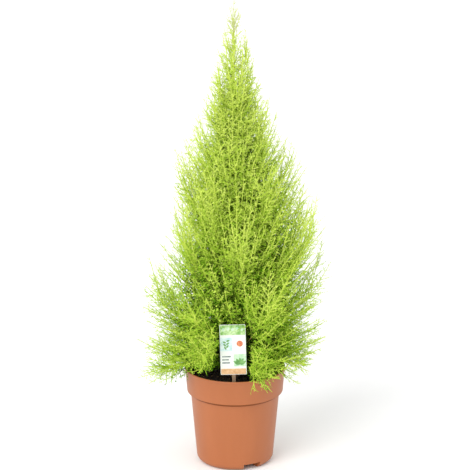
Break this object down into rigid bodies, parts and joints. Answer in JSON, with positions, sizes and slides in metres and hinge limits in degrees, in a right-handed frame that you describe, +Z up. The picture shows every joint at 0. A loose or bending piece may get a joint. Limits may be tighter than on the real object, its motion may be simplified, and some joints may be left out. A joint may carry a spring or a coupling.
{
  "type": "potted monterey cypress",
  "caption": "Young Monterey cypress in a round nursery pot: a slim trunk inside a dense, feathery cone of upswept lime-green plumes, with a plant label at the rim.",
  "frame": {"origin": "centre of the flat hub on the pot's underside, which the plant stands on", "axes": "+Z up along the pot's axis, -Y towards the viewer who faces the plant label, +X to that viewer's right"},
  "size_m": [0.3624, 0.3456, 0.876],
  "materials": {
    "foliage": "matt lime-green needle sprays",
    "bark": "rough reddish-brown young bark",
    "pot_terracotta": "terracotta-coloured moulded plastic",
    "soil": "dark moist peat",
    "label": "smooth printed plastic card"
  },
  "bodies": {
    "root": {"pot": "pot_terracotta", "soil": "soil", "plant_label": "label", "trunk": "bark", "bough_skirt_1": "bark", "bough_skirt_2": "bark", "bough_skirt_3": "bark", "bough_skirt_4": "bark", "bough_skirt_5": "bark", "bough_skirt_6": "bark", "bough_skirt_7": "bark", "bough_low_1": "bark", "bough_low_2": "bark", "bough_low_3": "bark", "bough_low_4": "bark", "bough_low_5": "bark", "bough_low_6": "bark", "foliage_skirt_1": "foliage", "foliage_skirt_2": "foliage", "foliage_skirt_3": "foliage", "foliage_skirt_4": "foliage", "foliage_skirt_5": "foliage", "foliage_skirt_6": "foliage", "foliage_skirt_7": "foliage", "foliage_low_1": "foliage", "foliage_low_2": "foliage", "foliage_low_3": "foliage", "foliage_low_4": "foliage", "foliage_low_5": "foliage", "foliage_low_6": "foliage", "foliage_middle_1": "foliage", "foliage_middle_2": "foliage", "foliage_middle_3": "foliage", "foliage_middle_4": "foliage", "foliage_middle_5": "foliage", "foliage_middle_6": "foliage", "foliage_high_1": "foliage", "foliage_high_2": "foliage", "foliage_high_3": "foliage", "foliage_high_4": "foliage", "foliage_high_5": "foliage", "foliage_shoulder_1": "foliage", "foliage_shoulder_2": "foliage", "foliage_shoulder_3": "foliage", "foliage_shoulder_4": "foliage", "foliage_shoulder_5": "foliage", "foliage_upper_1": "foliage", "foliage_upper_2": "foliage", "foliage_upper_3": "foliage", "foliage_upper_4": "foliage", "foliage_crown_1": "foliage", "foliage_crown_2": "foliage", "foliage_crown_3": "foliage", "foliage_leader": "foliage"}
  },
  "joints": []
}
